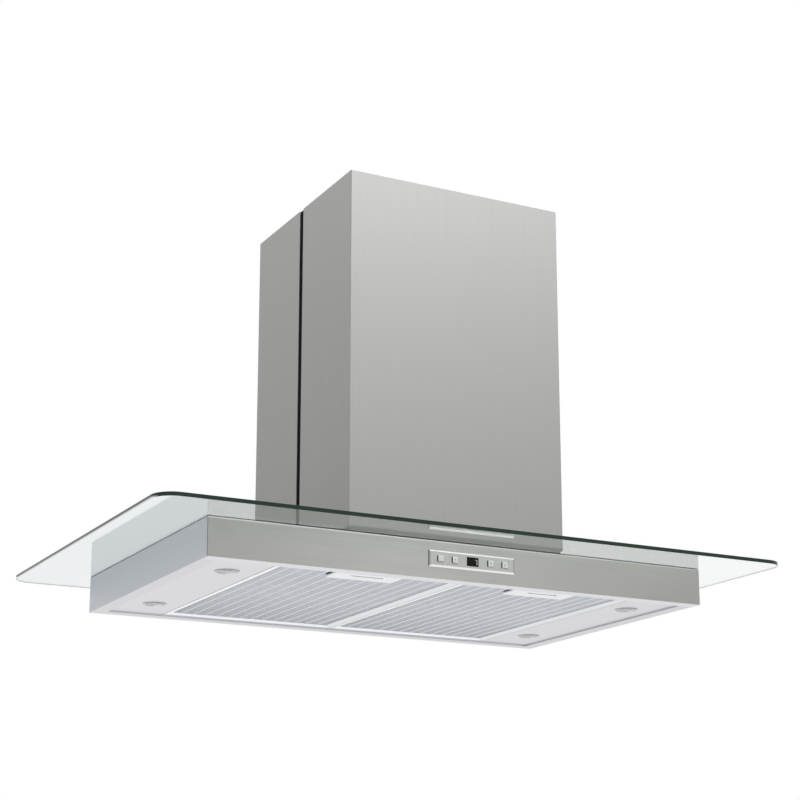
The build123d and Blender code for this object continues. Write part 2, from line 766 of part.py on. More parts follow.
for number, (x, z) in enumerate(button_holes, start=1):
    with BuildPart() as button:
        block(
            about(x, button_width / 2),
            (control_face - button_stand, control_face + 4.2),
            about(z, button_height / 2),
        )
        chamfer(button.faces().sort_by(Axis.Y)[0].edges(), 0.4)
        block(about(x, 4.9), (control_face + 4.2, control_face + 5.2), about(z, 4.6))
        block(about(x, 2), (control_face + 5.2, control_face + 7.2), about(z, 2))
    button.part.label = f"button_{number}"
    export_step(button.part, f"parts/button_{number}.step")

# ---------------------------------------------------------------- blower

half_casing_x = casing_width / 2
half_casing_y = casing_depth / 2
cable_entry = (0, -half_casing_y, -295)

with BuildPart() as blower_casing:
    block((-half_casing_x, half_casing_x), (-half_casing_y, half_casing_y), (base_z, casing_top))
    fillet(blower_casing.edges().filter_by(Axis.Z), 2)
    cavity_x = (casing_wall - half_casing_x, half_casing_x - casing_wall)
    cavity_y = (casing_wall - half_casing_y, half_casing_y - casing_wall)
    block(cavity_x, cavity_y, (base_z + casing_wall, casing_top - casing_wall), Mode.SUBTRACT)
    block((-110, 110), (-100, 100), (base_z, base_z + casing_wall), Mode.SUBTRACT)
    rod((0, 0, casing_top - casing_wall), (0, 0, 1), casing_wall, spigot_radius - 2, Mode.SUBTRACT)
    rod(cable_entry, (0, 1, 0), casing_wall, 6, Mode.SUBTRACT)
blower_casing.part.label = "blower_casing"
export_step(blower_casing.part, "parts/blower_casing.step")

volute_start = 100
volute_end = 360
volute_steps = 10
volute_growth = 28
volute_gap = 5
scroll_top = casing_top - casing_wall
tongue_top_y = -55


def volute_section(inset, top):
    """The volute's side outline on Plane.YZ: a growing spiral, then a duct that opens upwards."""
    with BuildSketch(Plane.YZ) as section:
        with BuildLine():
            points = []
            first = volute_start - 2 * inset
            for step in range(volute_steps + 1):
                share = step / volute_steps
                radius = fan_radius + volute_gap + volute_growth * share - inset
                turn = math.radians(first + (volute_end - first) * share)
                points.append((fan_y + radius * math.cos(turn), fan_z + radius * math.sin(turn)))
            spiral = Spline(*points)
            Polyline(spiral @ 1, ((spiral @ 1).X, top), (tongue_top_y + 1.5 * inset, top), spiral @ 0)
        make_face()
    return section.sketch


# A curved wrapper stands between two flat side plates, each with an inlet ring.
wrapper_half_width = scroll_half_width - scroll_wall
with BuildPart() as scroll_wrapper:
    extrude(volute_section(0, scroll_top), amount=wrapper_half_width, both=True)
    duct = volute_section(scroll_wall, scroll_top + 2)
    extrude(duct, amount=wrapper_half_width, both=True, mode=Mode.SUBTRACT)
scroll_wrapper.part.label = "scroll_wrapper"
export_step(scroll_wrapper.part, "parts/scroll_wrapper.step")

for name, side in sides.items():
    with BuildPart() as scroll_side:
        outward = (side, 0, 0)
        plate_start = (side * wrapper_half_width, fan_y, fan_z)
        outline = Pos(side * wrapper_half_width, 0, 0) * volute_section(0, scroll_top)
        extrude(outline, amount=scroll_wall, dir=outward)
        rod(plate_start, outward, scroll_wall, inlet_radius, Mode.SUBTRACT)
    scroll_side.part.label = f"scroll_side_{name}"
    export_step(scroll_side.part, f"parts/scroll_side_{name}.step")

# Impeller: blades between two end rings, passing through slots in a central disc
blade_inner = 61
blade_outer = 74
blade_length = blade_outer - blade_inner + 1.5
blade_thickness = 1.2
blade_pitch_angle = 28
drum_half = 48
ring_width = 2
ring_bore = blade_inner + 3
disc_thickness = 2
hub_radius = 11
hub_length = 28


def blade_ring():
    """The blades' sections in a circle about the fan's axis, on a plane through the origin."""
    with BuildSketch(Plane(origin=(0, fan_y, fan_z), x_dir=(0, 1, 0), z_dir=(1, 0, 0))) as section:
        with PolarLocations((blade_inner + blade_outer) / 2, blade_count):
            Rectangle(blade_length, blade_thickness, rotation=blade_pitch_angle)
    return section.sketch


with BuildPart() as impeller_blades:
    extrude(blade_ring(), amount=drum_half - ring_width, both=True)
impeller_blades.part.label = "impeller_blades"
export_step(impeller_blades.part, "parts/impeller_blades.step")

with BuildPart() as impeller_rings:
    for x in (-drum_half, drum_half - ring_width):
        rod((x, fan_y, fan_z), (1, 0, 0), ring_width, fan_radius)
        rod((x, fan_y, fan_z), (1, 0, 0), ring_width, ring_bore, Mode.SUBTRACT)
impeller_rings.part.label = "impeller_rings"
export_step(impeller_rings.part, "parts/impeller_rings.step")

with BuildPart() as impeller_disc:
    rod((-disc_thickness / 2, fan_y, fan_z), (1, 0, 0), disc_thickness, fan_radius - 2)
    rod((-hub_length / 2, fan_y, fan_z), (1, 0, 0), hub_length, hub_radius)
    rod((-hub_length / 2, fan_y, fan_z), (1, 0, 0), hub_length, shaft_radius, Mode.SUBTRACT)
    extrude(blade_ring(), amount=disc_thickness, both=True, mode=Mode.SUBTRACT)
impeller_disc.part.label = "impeller_disc"
export_step(impeller_disc.part, "parts/impeller_disc.step")

with BuildPart() as motor_shaft:
    rod((-18, fan_y, fan_z), (1, 0, 0), 116, shaft_radius)
motor_shaft.part.label = "motor_shaft"
export_step(motor_shaft.part, "parts/motor_shaft.step")

with BuildPart() as motor:
    rod((24, fan_y, fan_z), (1, 0, 0), 18, motor_radius - 2)
    rod((42, fan_y, fan_z), (1, 0, 0), 26, motor_radius)
    rod((68, fan_y, fan_z), (1, 0, 0), 18, motor_radius - 2)
    rod((18, fan_y, fan_z), (1, 0, 0), 76, 13)
    rod((18, fan_y, fan_z), (1, 0, 0), 76, shaft_radius + 0.06, Mode.SUBTRACT)
motor.part.label = "motor"
export_step(motor.part, "parts/motor.step")

# Three arms cross the inlet and carry a sleeve that grips the motor.
sleeve_radius = 44
arm_end_radius = 70
with BuildPart() as motor_bracket:
    bracket_plane = Plane(origin=(scroll_half_width, fan_y, fan_z), x_dir=(0, 1, 0), z_dir=(1, 0, 0))
    with BuildSketch(bracket_plane):
        with PolarLocations((arm_end_radius + motor_radius) / 2, 3, start_angle=90):
            Rectangle(arm_end_radius - motor_radius, 9)
    extrude(amount=2.5)
    rod((scroll_half_width, fan_y, fan_z), (1, 0, 0), 11.5, sleeve_radius)
    rod((scroll_half_width, fan_y, fan_z), (1, 0, 0), 11.5, motor_radius, Mode.SUBTRACT)
motor_bracket.part.label = "motor_bracket"
export_step(motor_bracket.part, "parts/motor_bracket.step")

with BuildPart() as capacitor:
    rod((-88, -90, -340), (0, 0, 1), 66, 16)
    rod((-88, -90, -274), (0, 0, 1), 8, 4)
    fillet(capacitor.edges().filter_by(GeomType.CIRCLE).group_by(Axis.Z)[0], 1.5)
capacitor.part.label = "capacitor"
export_step(capacitor.part, "parts/capacitor.step")

box_front = -half_casing_y - 28
box_top = -262
with BuildPart() as terminal_box:
    block((-45, 45), (box_front, -half_casing_y), (-330, box_top))
    fillet(terminal_box.faces().sort_by(Axis.Y)[0].edges(), 2)
    block((-43, 43), (box_front + 2, -half_casing_y), (-328, box_top - 2), Mode.SUBTRACT)
    rod((cable_x, cable_y, box_top - 2), (0, 0, 1), 2, 8, Mode.SUBTRACT)
terminal_box.part.label = "terminal_box"
export_step(terminal_box.part, "parts/terminal_box.step")

gland_bore = 4.5
with BuildPart() as cable_gland:
    rod((cable_x, cable_y, box_top - 6), (0, 0, 1), 6, 8)
    with BuildSketch(Plane.XY.offset(box_top)):
        with Locations((cable_x, cable_y)):
            RegularPolygon(11, 6)
    extrude(amount=6)
    rod((cable_x, cable_y, box_top + 6), (0, 0, 1), 12, 9.4)
    fillet(cable_gland.edges().filter_by(GeomType.CIRCLE).group_by(Axis.Z)[-1], 3)
    rod((cable_x, cable_y, box_top - 6), (0, 0, 1), 24, gland_bore, Mode.SUBTRACT)
cable_gland.part.label = "cable_gland"
export_step(cable_gland.part, "parts/cable_gland.step")

# ---------------------------------------------------------------- outlet and damper

bore_radius = spigot_radius - spigot_wall
stop_z = flap_z - 2.4
pin_half = spigot_radius - 0.2
with BuildPart() as outlet_collar:
    rod((0, 0, casing_top), (0, 0, 1), 3, 90)
    rod((0, 0, casing_top), (0, 0, 1), spigot_top - casing_top, spigot_radius)
    rod((0, 0, casing_top), (0, 0, 1), spigot_top - casing_top, bore_radius, Mode.SUBTRACT)
    rod((0, 0, stop_z), (0, 0, 1), 1.5, bore_radius + 0.4)
    rod((0, 0, stop_z), (0, 0, 1), 1.5, bore_radius - 3, Mode.SUBTRACT)
    block((-bore_radius, bore_radius), (-7, 7), (stop_z, stop_z + 1.5), Mode.SUBTRACT)
    with BuildSketch(Plane.XY.offset(stop_z)):
        Circle(spigot_radius)
        Circle(bore_radius, mode=Mode.SUBTRACT)
    extrude(amount=1.5)
    for side in (-1, 1):
        start = (-pin_half, side * flap_pin_y, flap_z)
        rod(start, (1, 0, 0), 2 * pin_half, flap_pin_radius, Mode.SUBTRACT)
    with PolarLocations(83, 4, start_angle=45):
        Hole(2, depth=400)
outlet_collar.part.label = "outlet_collar"
export_step(outlet_collar.part, "parts/outlet_collar.step")

with BuildPart() as flap_pins:
    for side in (-1, 1):
        start = (-pin_half, side * flap_pin_y, flap_z)
        rod(start, (1, 0, 0), 2 * pin_half, flap_pin_radius)
flap_pins.part.label = "flap_pins"
export_step(flap_pins.part, "parts/flap_pins.step")

flap_radius = bore_radius - 0.6
barrel_half = 70
for name, side in {"front": -1, "rear": 1}.items():
    with BuildPart() as damper_flap:
        with BuildSketch(Plane.XY.offset(flap_z - 0.6)):
            Circle(flap_radius)
            with Locations((0, side * (flap_pin_y + 100))):
                Rectangle(200, 200, mode=Mode.INTERSECT)
        extrude(amount=1.2)
        rod((-barrel_half, side * flap_pin_y, flap_z), (1, 0, 0), 2 * barrel_half, 2.4)
        bore = flap_pin_radius + flap_clearance
        rod((-75, side * flap_pin_y, flap_z), (1, 0, 0), 150, bore, Mode.SUBTRACT)
    damper_flap.part.label = f"damper_flap_{name}"
    export_step(damper_flap.part, f"parts/damper_flap_{name}.step")
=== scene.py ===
# %% [markdown]
# # An island range hood
#
# The hood hangs from the ceiling over a kitchen island. A steel chimney in two halves comes
# down through a flat glass plate to a slim steel canopy. The canopy's underside holds two
# grease filters and four lamps, and its front holds a small button panel. The solids of every
# part come from the CAD model. This lesson gives them their finishes, adds the fine parts that
# are easier to shape in Blender, and then lights and frames them.

# %% Load the CAD model
import json
import math

import bpy
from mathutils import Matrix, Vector


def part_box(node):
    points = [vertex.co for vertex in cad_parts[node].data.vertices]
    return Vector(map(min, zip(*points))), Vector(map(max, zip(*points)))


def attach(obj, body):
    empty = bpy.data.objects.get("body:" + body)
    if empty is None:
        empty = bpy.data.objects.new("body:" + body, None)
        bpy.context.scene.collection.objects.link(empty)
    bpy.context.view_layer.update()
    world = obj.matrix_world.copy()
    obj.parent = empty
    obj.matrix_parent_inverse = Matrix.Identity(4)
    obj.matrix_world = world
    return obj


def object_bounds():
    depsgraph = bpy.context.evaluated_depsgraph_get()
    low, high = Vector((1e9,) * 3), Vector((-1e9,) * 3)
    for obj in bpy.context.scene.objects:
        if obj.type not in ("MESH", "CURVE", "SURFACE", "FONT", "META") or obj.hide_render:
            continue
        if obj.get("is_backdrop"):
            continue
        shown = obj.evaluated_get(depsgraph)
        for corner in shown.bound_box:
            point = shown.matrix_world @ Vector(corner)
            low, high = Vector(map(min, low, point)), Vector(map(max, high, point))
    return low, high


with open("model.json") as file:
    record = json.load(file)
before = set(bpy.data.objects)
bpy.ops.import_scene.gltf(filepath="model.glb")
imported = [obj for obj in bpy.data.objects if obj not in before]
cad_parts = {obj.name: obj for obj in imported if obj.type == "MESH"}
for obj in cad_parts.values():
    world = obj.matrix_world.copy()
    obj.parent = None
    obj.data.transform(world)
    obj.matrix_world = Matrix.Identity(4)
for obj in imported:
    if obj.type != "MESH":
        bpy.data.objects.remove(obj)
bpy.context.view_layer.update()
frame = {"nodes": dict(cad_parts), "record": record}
nodes = frame["nodes"]

MM = 0.001

# %% [markdown]
# ## Writing finishes as sums
#
# A finish is a small graph of nodes. Wiring it by hand is slow to read, so one class stands for
# a socket and lets us write `1 - mask` or `grain * 0.2`, and a second one stands for the whole
# finish. Every other node is added by its single `node` method.


# %% A socket that can be added and multiplied
class Wire:
    """One output socket. A sum or product with a number or another wire adds a Math node."""

    def __init__(self, finish, socket):
        self.finish = finish
        self.socket = socket

    def math(self, operation, first, second):
        return self.finish.node("ShaderNodeMath", {"operation": operation}, {0: first, 1: second})

    def __add__(self, other):
        return self.math("ADD", self, other)

    def __sub__(self, other):
        return self.math("SUBTRACT", self, other)

    def __rsub__(self, other):
        return self.math("SUBTRACT", other, self)

    def __mul__(self, other):
        return self.math("MULTIPLY", self, other)

    __radd__ = __add__
    __rmul__ = __mul__


class Finish:
    """A material, or the world, and the one way in which nodes are added to it."""

    def __init__(self, name, owner=None):
        self.owner = owner or bpy.data.materials.new(name)
        self.owner.use_nodes = True
        self.tree = self.owner.node_tree
        self.tree.nodes.clear()

    def node(self, kind, settings=None, inputs=None, output=0):
        """Adds a node: its settings first, then its inputs, each a value or another wire."""
        made = self.tree.nodes.new(kind)
        for name, value in (settings or {}).items():
            setattr(made, name, value)
        for name, value in (inputs or {}).items():
            if isinstance(value, Wire):
                self.tree.links.new(value.socket, made.inputs[name])
            else:
                made.inputs[name].default_value = value
        return Wire(self, made.outputs[output]) if made.outputs else made


print("finishes are written with", Wire.__name__, "and", Finish.__name__)

# %% [markdown]
# ## Grain, streaks and smears
#
# Sheet steel is never one flat grey. It has a fine grain that runs the way it was brushed, and
# soft smears left by rolling and wiping. Both are noise on the object's own coordinates: the
# grain is stretched a hundredfold along one axis, the smears only a few times.


# %% Patterns shared by several finishes
# The sockets of a Mix node that carry colours: its two inputs and its output.
COLOUR_A, COLOUR_B, COLOUR_RESULT = 6, 7, 2
# How deep the grain of a sheet or a mould is, in metres.
GRAIN_DEPTH = 0.00005


def placed(finish, scale):
    """The object's own coordinates in metres, multiplied by scale along each axis."""
    here = finish.node("ShaderNodeTexCoord", output="Object")
    inputs = {"Vector": here, "Scale": scale}
    return finish.node("ShaderNodeMapping", {"vector_type": "POINT"}, inputs)


def noise(finish, scale, detail=3.0, roughness=0.55):
    """Soft noise between 0 and 1 whose cells are 1/scale metres along each axis."""
    here = placed(finish, scale)
    inputs = {"Vector": here, "Scale": 1.0, "Detail": detail, "Roughness": roughness}
    return finish.node("ShaderNodeTexNoise", {"noise_dimensions": "3D"}, inputs)


def spread(finish, value, low, high):
    """Noise stretched so that its usual range runs from low to high."""
    inputs = {"Value": value, "From Min": 0.3, "From Max": 0.7, "To Min": low, "To Max": high}
    return finish.node("ShaderNodeMapRange", {"clamp": True}, inputs)


def blended(finish, share, first, second):
    """The second colour where share is 1 and the first where it is 0. Either may be a wire."""
    first, second = [each if isinstance(each, Wire) else (*each, 1.0) for each in (first, second)]
    inputs = {"Factor": share, COLOUR_A: first, COLOUR_B: second}
    return finish.node("ShaderNodeMix", {"data_type": "RGBA"}, inputs, output=COLOUR_RESULT)


def ramp(finish, coordinate, axis, start, end):
    """0 where one axis of a coordinate is at start, 1 where it is at end, straight between."""
    vector = finish.node("ShaderNodeTexCoord", output=coordinate)
    part = finish.node("ShaderNodeSeparateXYZ", inputs={"Vector": vector}, output=axis)
    inputs = {"Value": part, "From Min": start, "From Max": end, "To Min": 0.0, "To Max": 1.0}
    return finish.node("ShaderNodeMapRange", {"clamp": True}, inputs)


def turned(finish, axis, start, end):
    """0 to 1 as the surface's own normal turns along an axis, so it stays with the surface."""
    return ramp(finish, "Normal", axis, start, end)


def along_axis(finish, axis, start, end):
    """0 to 1 from one place on an axis to another, in the object's own metres."""
    return ramp(finish, "Object", axis, start, end)


def within(finish, axis, low, high, soft):
    """1 between two places on an axis and 0 outside them, with an edge of soft metres."""
    return along_axis(finish, axis, low, low + soft) * along_axis(finish, axis, high, high - soft)


def shades_of(colour, contrast):
    """A darker and a lighter shade of one colour."""
    dark = [part * (1 - contrast) for part in colour]
    light = [min(part * (1 + contrast), 1.0) for part in colour]
    return dark, light


def bumped(finish, height, strength, distance):
    """A normal tilted by a height: strength is its share, distance its depth in metres."""
    inputs = {"Height": height, "Strength": strength, "Distance": distance}
    return finish.node("ShaderNodeBump", inputs=inputs)


def surface(finish, **sockets):
    """Ends a finish in a Principled shader and returns its material."""
    inputs = {name.replace("_", " "): value for name, value in sockets.items()}
    shader = finish.node("ShaderNodeBsdfPrincipled", inputs=inputs)
    finish.node("ShaderNodeOutputMaterial", inputs={"Surface": shader})
    return finish.owner


print("patterns ready")

# %% [markdown]
# ## Steel finishes
#
# The canopy's front is brushed along its length. The chimney has a much finer, upright grain
# that is only felt as a soft sheen. The canopy's sides carry a cooler, brighter steel. The
# undersides of the front and the sides are painted a pale satin, as light from the floor below.
# They are one recipe with different colours and grain directions. Painted light and shade get a
# colour of their own through a mask: a painted highlight along the front's top edge, painted shade
# at the front's ends, on the chimney's lower half and in a band at its foot, and faces painted
# lighter or darker by the way they turn. The filter's sheet is darker towards the rear.


# %% Brushed and satin steel
def sheet_shade(finish, colour, grain, contrast):
    """A sheet's colour, with its grain, bands and soft smears, and the grain's own height."""
    lines = noise(finish, grain, detail=2.0)
    bands = noise(finish, [max(2.5, scale * 0.12) for scale in grain], detail=2.0)
    smears = noise(finish, [max(1.5, scale * 0.01) for scale in grain], detail=4.0)
    shade = spread(finish, lines, 0.0, 0.4) + spread(finish, bands, 0.0, 0.3)
    shade = shade + spread(finish, smears, 0.0, 0.3)
    return blended(finish, shade, *shades_of(colour, contrast)), lines


# Each place that can have a colour of its own, with the mask that is 1 there. Heights and
# places are the object's own metres, and the other masks follow the way a face looks.
steel_places = {
    "film_below": lambda finish: along_axis(finish, "Z", -0.06, -0.44),
    "film_behind": lambda finish: along_axis(finish, "Y", 0.05, 0.23),
    "right_slopes": lambda finish: turned(finish, "X", 0.1, 0.18),
    "left_slopes": lambda finish: turned(finish, "X", -0.1, -0.18),
    "front_faces": lambda finish: turned(finish, "Y", -0.8, -0.95),
    "underside": lambda finish: turned(finish, "Z", -0.4, -0.8),
    "upright_faces": lambda finish: turned(finish, "Z", -0.4, -0.2),
    "lower_bevels": lambda finish: (
        turned(finish, "Z", -0.45, -0.6) * turned(finish, "Z", -0.95, -0.8)
    ),
    "cut_ends": lambda finish: turned(finish, "X", 0.85, 0.95) + turned(finish, "X", -0.85, -0.95),
    "top_fold": lambda finish: along_axis(finish, "Z", -0.4968, -0.4962),
    "foot_seal": lambda finish: along_axis(finish, "Z", -0.4756, -0.476),
}


def steel(name, colour, grain, roughness, depth, contrast=0.06, smeared=None, **places):
    """Sheet steel. grain gives the noise scale along x, y and z, and the grain runs along the
    axis with the smallest one. An optional darker colour comes and goes in random smears a hand's
    width across, and is painted over both ends as shade. places gives the colours of steel_places,
    laid one over the other in the order in which they are written."""
    finish = Finish(name)
    shade, lines = sheet_shade(finish, colour, grain, contrast)
    if smeared:
        middle = along_axis(finish, "X", -0.4, -0.1) * along_axis(finish, "X", 0.42, 0.1)
        patches = spread(finish, noise(finish, (4.0, 4.0, 14.0), detail=1.0), 0.0, 0.3)
        shade = blended(finish, patches + middle * 0.65, smeared, shade)
    for place, its_colour in places.items():
        shade = blended(finish, steel_places[place](finish), shade, its_colour)
    return surface(
        finish,
        Base_Color=shade,
        Metallic=1.0,
        Roughness=spread(finish, lines, roughness - 0.05, roughness + 0.05),
        Normal=bumped(finish, lines, depth, GRAIN_DEPTH),
    )


fine, along = 2500.0, 12.0
satin = (0.765, 0.762, 0.785)
aluminium = (0.93, 0.95, 0.98)
every_way = (500.0, 500.0, 500.0)
materials = {
    # Painted on the front: near black ends for the shade in the seams, a highlight along the top
    # edge, a pale underside for light from below, and shade over both ends.
    "stainless": steel(
        "brushed_steel",
        (0.415, 0.412, 0.395),
        (along, fine, fine),
        roughness=0.36,
        depth=0.3,
        contrast=0.09,
        smeared=(0.31, 0.308, 0.295),
        underside=satin,
        cut_ends=(0.05, 0.05, 0.05),
        top_fold=(0.48, 0.48, 0.47),
    ),
    # Painted on the skirt: lighter faces where they turn to the front, and a pale underside for
    # light from below.
    "skirt_steel": steel(
        "cool_steel",
        (0.49, 0.513, 0.552),
        (fine, along, fine),
        roughness=0.4,
        depth=0.1,
        contrast=0.02,
        front_faces=(0.64, 0.645, 0.66),
        underside=(0.715, 0.71, 0.73),
    ),
    # Painted on the chimney: shade over its lower half, and a dark green band of shade at its foot.
    "chimney_steel": steel(
        "chimney_steel",
        (0.337, 0.337, 0.332),
        (fine, fine, along),
        roughness=0.52,
        depth=0.05,
        contrast=0.015,
        film_below=(0.305, 0.305, 0.3),
        foot_seal=(0.1, 0.13, 0.115),
    ),
    # The collar is painted nearly black, with a dark green-grey band at its foot, for the shade in
    # the recess under the chimney.
    "collar_steel": steel(
        "collar_steel",
        (0.01, 0.011, 0.011),
        (along, fine, fine),
        roughness=0.5,
        depth=0.05,
        foot_seal=(0.17, 0.205, 0.19),
    ),
    "tray_steel": steel(
        "satin_steel", satin, (along, fine, fine), roughness=0.42, depth=0.1, contrast=0.015
    ),
    # The rings' upright walls and lower bevels are painted darker as shade.
    "lamp_steel": steel(
        "lamp_ring_steel",
        satin,
        every_way,
        roughness=0.35,
        depth=0.05,
        contrast=0.02,
        upright_faces=(0.38, 0.382, 0.387),
        lower_bevels=(0.52, 0.52, 0.53),
    ),
    # The lens collars' upright walls are painted darker as shade.
    "collar_ring": steel(
        "collar_ring_steel",
        satin,
        every_way,
        roughness=0.35,
        depth=0.05,
        contrast=0.02,
        upright_faces=(0.5, 0.502, 0.505),
    ),
    "shaft_steel": steel(
        "ground_steel", (0.5, 0.5, 0.5), (fine, 900.0, fine), roughness=0.3, depth=0.1
    ),
    "zinc_screws": steel(
        "zinc_plate", (0.5, 0.5, 0.47), (600.0, 600.0, 600.0), roughness=0.4, depth=0.1
    ),
    # The slopes that face right are painted lighter and those that face left darker, as light
    # falling from one side.
    "frame_aluminium": steel(
        "satin_aluminium",
        aluminium,
        (900.0, 40.0, 900.0),
        roughness=0.4,
        depth=0.1,
        contrast=0.02,
        right_slopes=(0.99, 1.0, 1.0),
        left_slopes=(0.79, 0.81, 0.83),
    ),
    "filter_sheet": steel(
        "expanded_sheet",
        (0.69, 0.715, 0.755),
        every_way,
        roughness=0.45,
        depth=0.1,
        contrast=0.08,
        film_behind=(0.57, 0.59, 0.625),
    ),
}
print(len(materials), "steel finishes")

# %% [markdown]
# The filter's pad is knitted wire, which is darker than a sheet because its gaps hold shade. A
# fine lattice of two crossed waves stands for the knit. Its pressed ribs are flattened wire, so
# below the pad's own face the finish turns to bright aluminium, with a painted highlight on top.
# The rear half of the knit is a little darker.

# %% Knitted pad with bright ribs
finish = Finish("knitted_pad")
knit = placed(finish, (1.0, 1.6, 1.0))
stitches = []
for turn in (-45, 45):
    slant = {"Vector": knit, "Angle": math.radians(turn)}
    slanted = finish.node("ShaderNodeVectorRotate", {"rotation_type": "Z_AXIS"}, slant)
    waves = {"Vector": slanted, "Scale": 140.0, "Distortion": 0.0}
    stitches.append(finish.node("ShaderNodeTexWave", {"wave_type": "BANDS"}, waves, output="Fac"))
lattice = stitches[0] * stitches[1]
pad_shade = blended(finish, lattice, (0.42, 0.437, 0.46), (0.68, 0.7, 0.73))
used_shade = blended(finish, lattice, (0.35, 0.362, 0.38), (0.56, 0.575, 0.6))
pad_shade = blended(finish, along_axis(finish, "Y", 0.03, 0.23), pad_shade, used_shade)
pad_face_z = -0.5393
below_face = along_axis(finish, "Z", pad_face_z - 0.0001, pad_face_z - 0.0004)
# The ribs are flattened wire, painted a little lighter as the highlight they catch.
rib_shade = (0.74, 0.76, 0.79)
materials["mesh_aluminium"] = surface(
    finish,
    Base_Color=blended(finish, below_face, pad_shade, rib_shade),
    Metallic=1.0,
    Roughness=lattice * 0.1 + 0.4,
    Normal=bumped(finish, lattice, 0.5, 0.0003),
)
print("pad and ribs ready")

# %% [markdown]
# Hot-dip galvanised sheet shows large flat crystals, each with its own shade. A Voronoi texture
# draws such cells, and its random colour gives every crystal a shade of its own.

# %% Galvanised sheet
finish = Finish("galvanised_sheet")
cells = {"Vector": placed(finish, (90.0, 90.0, 90.0)), "Scale": 1.0}
crystal = finish.node("ShaderNodeTexVoronoi", {"feature": "F1"}, cells, output="Color")
crystal_shade = finish.node("ShaderNodeSeparateColor", inputs={"Color": crystal})
materials["galvanised"] = surface(
    finish,
    Base_Color=blended(finish, crystal_shade, (0.36, 0.37, 0.38), (0.47, 0.48, 0.49)),
    Metallic=1.0,
    Roughness=crystal_shade * 0.15 + 0.35,
)
print("galvanised sheet ready")

# %% [markdown]
# ## Moulded and painted finishes
#
# Plastic, rubber and paint share a shape too: one colour with a faint mottle, and a shallow
# grain from the mould. What differs is the gloss and the depth of that grain.


# %% Plastic, rubber and paint
MOULD_GRAIN = 1800.0


def speckled(finish, colour, grain, contrast):
    """One colour with a faint mottle, and the mottle's own height."""
    speckle = noise(finish, (grain, grain, grain))
    mottle = spread(finish, speckle, 0.0, 1.0)
    return blended(finish, mottle, *shades_of(colour, contrast)), speckle


def coated(finish, shade, speckle, roughness, depth, **sockets):
    """Ends a finish whose gloss and height follow its speckle."""
    return surface(
        finish,
        Base_Color=shade,
        Roughness=spread(finish, speckle, roughness - 0.04, roughness + 0.04),
        Normal=bumped(finish, speckle, depth, GRAIN_DEPTH),
        **sockets,
    )


def moulded(name, colour, roughness, grain=MOULD_GRAIN, depth=0.15, contrast=0.08, **sockets):
    """A whole finish of one colour, for plastic, rubber or paint."""
    finish = Finish(name)
    return coated(finish, *speckled(finish, colour, grain, contrast), roughness, depth, **sockets)


dull = {"Specular IOR Level": 0.1}
materials.update(
    gasket_rubber=moulded("gasket_rubber", (0.03, 0.032, 0.031), 0.7, **dull),
    black_plastic=moulded("black_plastic", (0.02, 0.02, 0.02), 0.5),
    # The strips in the chimney's slots are black plastic, painted almost pure black for the shade
    # deep in the slots.
    slot_black=moulded("slot_black", (0.002, 0.002, 0.002), 0.9, **dull),
    grey_plastic=moulded("grey_plastic", (0.16, 0.165, 0.17), 0.5),
    white_plastic=moulded("white_plastic", (0.72, 0.72, 0.7), 0.45),
    display_black=moulded("display_window", (0.005, 0.005, 0.006), 0.3, contrast=0.5, **dull),
    board_green=moulded("circuit_board", (0.02, 0.11, 0.05), 0.4, grain=500.0, contrast=0.4),
    motor_steel=moulded("motor_paint", (0.06, 0.062, 0.065), 0.45, grain=700.0, depth=0.4),
)
print(len(materials), "finishes so far")

# %% [markdown]
# Three painted or moulded finishes change with the way their faces look. The handle's finger
# line is a shallow groove that gathers shade and ends in a small pit. The panel's bevels catch
# the floor's light below and lose it at the right. The buttons' left walls stand in the shade
# of their own gap.

# %% Handle, panel and buttons
finish = Finish("handle_paint")
shade, speckle = speckled(finish, (0.84, 0.855, 0.87), MOULD_GRAIN, 0.02)
finger_lines = ((-0.1505, -0.1063), (0.1085, 0.1527))
groove_front, groove_rear = -0.1426, -0.1394
pit_front, pit_rear = -0.1433, -0.1387
over_line = over_pit = 0.0
for line_left, line_right in finger_lines:
    over_line = within(finish, "X", line_left, line_right, 0.0005) + over_line
    over_pit = within(finish, "X", line_right - 0.0018, line_right + 0.0012, 0.0004) + over_pit
in_groove = within(finish, "Y", groove_front, groove_rear, 0.0003) * over_line
in_pit = within(finish, "Y", pit_front, pit_rear, 0.0004) * over_pit
shade = blended(finish, in_groove, shade, (0.07, 0.073, 0.073))
shade = blended(finish, in_pit, shade, (0.03, 0.031, 0.031))
materials["handle_finish"] = coated(finish, shade, speckle, 0.4, 0.15)

finish = Finish("silver_panel")
shade, speckle = speckled(finish, (0.395, 0.392, 0.376), MOULD_GRAIN, 0.02)
# Painted on the bezel: the lower bevel bright as light from the floor, the upper bevel lighter as a
# highlight, the right bevel dark as shade, and a thin dark line along the left edge as the shadow
# in the gap.
for mask, its_colour in (
    (turned(finish, "Z", -0.3, -0.6), (0.97, 0.98, 0.96)),
    (turned(finish, "Z", 0.3, 0.6), (0.54, 0.54, 0.52)),
    (turned(finish, "X", 0.3, 0.6), (0.16, 0.165, 0.16)),
    (along_axis(finish, "X", -0.0602, -0.0604), (0.12, 0.125, 0.12)),
):
    shade = blended(finish, mask, shade, its_colour)
materials["panel_silver"] = coated(finish, shade, speckle, 0.45, 0.15, Metallic=0.75)

finish = Finish("button_plastic")
shade, speckle = speckled(finish, (0.55, 0.555, 0.535), MOULD_GRAIN, 0.03)
shade = blended(finish, turned(finish, "X", -0.5, -0.8), shade, (0.05, 0.05, 0.05))
materials["button_grey"] = coated(finish, shade, speckle, 0.4, 0.15)
print(len(materials), "finishes so far")
